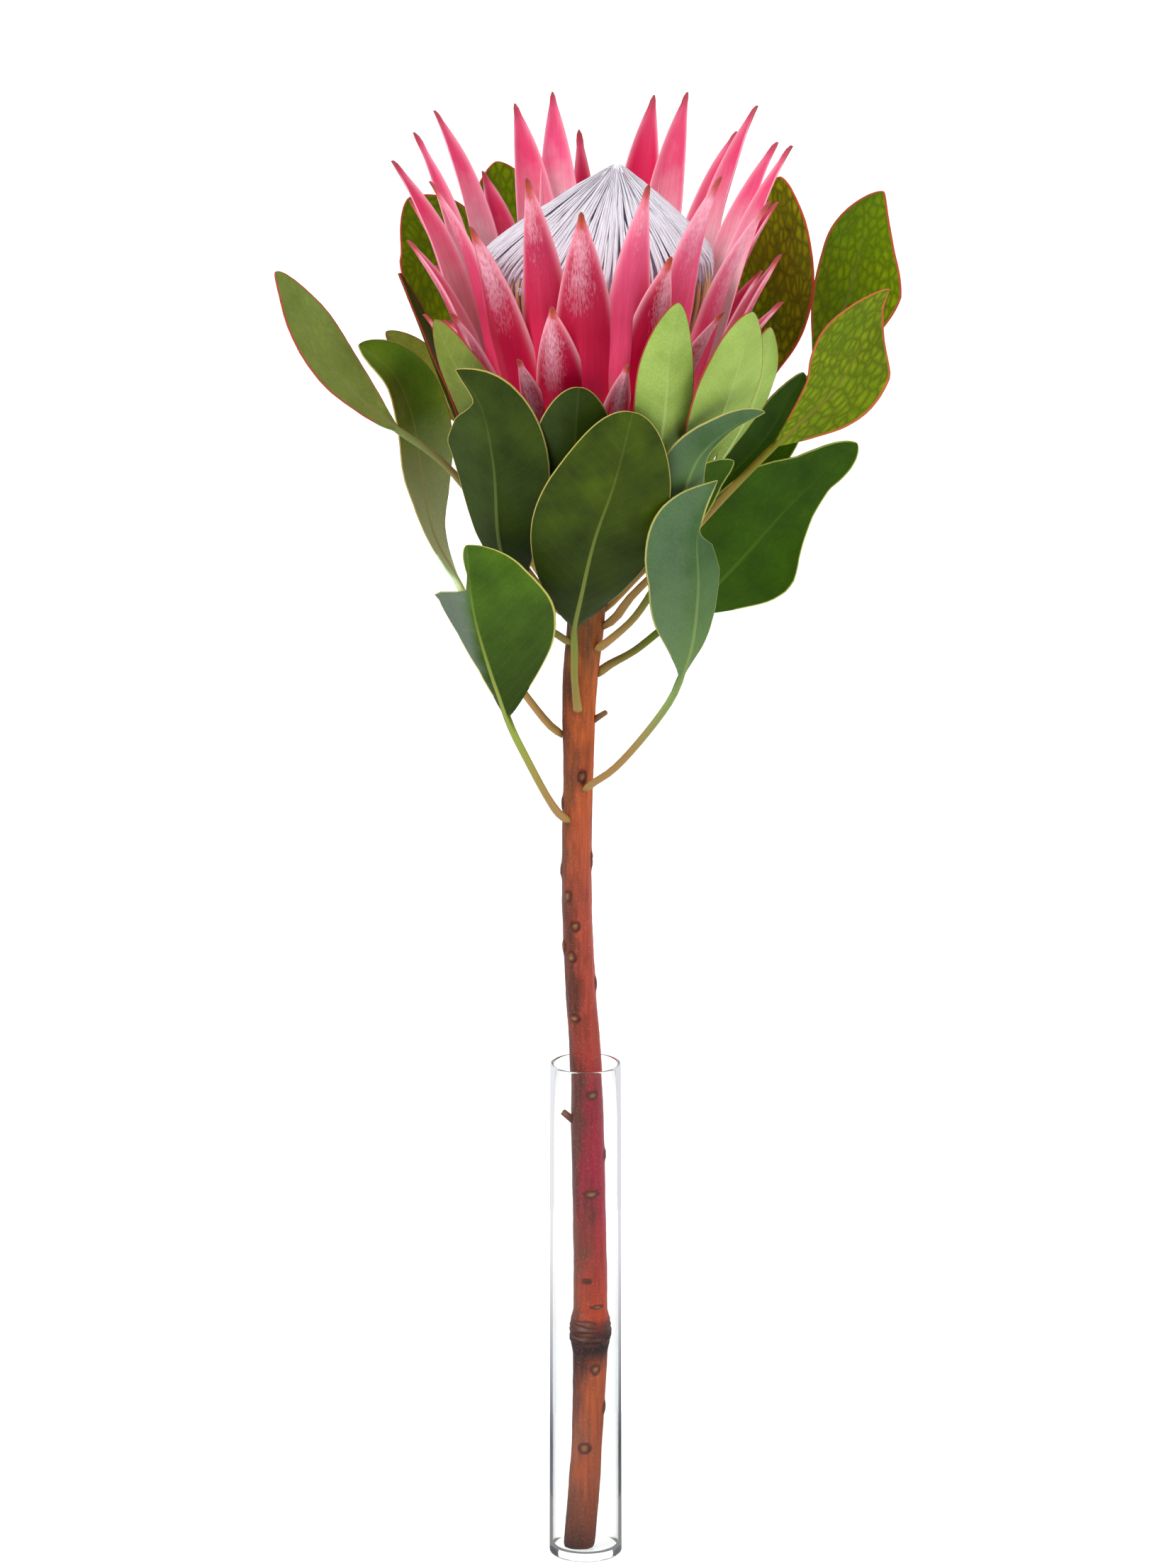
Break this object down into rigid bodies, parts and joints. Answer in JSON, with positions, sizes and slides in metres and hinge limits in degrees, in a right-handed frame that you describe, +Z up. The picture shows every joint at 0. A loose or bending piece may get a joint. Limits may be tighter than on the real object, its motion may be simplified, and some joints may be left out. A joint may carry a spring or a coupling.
{
  "type": "king protea cut flower in a glass tube vase",
  "caption": "King protea: a pink bract cup around a pale dome of florets, on a woody leafy stem that stands in a slim clear glass tube.",
  "frame": {"origin": "centre of the glass tube's flat underside", "axes": "+Z up along the stem, -Y towards the pictured front, +X to the pictured right"},
  "size_m": [0.2808, 0.1945, 0.6692],
  "materials": {
    "clear_glass": "clear, fire-polished rim",
    "stem_bark": "smooth red-brown bark with an olive side, crimson lower down",
    "bract_velvet": "velvety crimson pink, silvery towards the tips, paler inside",
    "floret_silk": "silky silver white with lilac grey shadows",
    "leaf_blade": "satin, leathery, with a pale yellow midrib and margin"
  },
  "bodies": {
    "root": {"vase_tube": "clear_glass", "stem": "stem_bark", "bracts": "bract_velvet", "florets": "floret_silk", "leaf_left_far": "leaf_blade", "leaf_left_twisted": "leaf_blade", "leaf_left_behind": "leaf_blade", "leaf_front_left": "leaf_blade", "leaf_front_small": "leaf_blade", "leaf_front_large": "leaf_blade", "leaf_upright": "leaf_blade", "leaf_right_pale": "leaf_blade", "leaf_right_pale_behind": "leaf_blade", "leaf_right_folded": "leaf_blade", "leaf_right_rolled": "leaf_blade", "leaf_right_twisted": "leaf_blade", "leaf_right_dark": "leaf_blade", "leaf_right_yellow": "leaf_blade", "leaf_right_far": "leaf_blade", "leaf_right_back": "leaf_blade", "leaf_right_shaded": "leaf_blade", "leaf_left_back": "leaf_blade", "leaf_back_left": "leaf_blade", "leaf_left_edge": "leaf_blade", "leaf_left_pale": "leaf_blade", "leaf_lower_left": "leaf_blade", "leaf_back_low": "leaf_blade", "leaf_back_right": "leaf_blade", "leaf_back_side": "leaf_blade", "leaf_back_middle": "leaf_blade"}
  },
  "joints": []
}
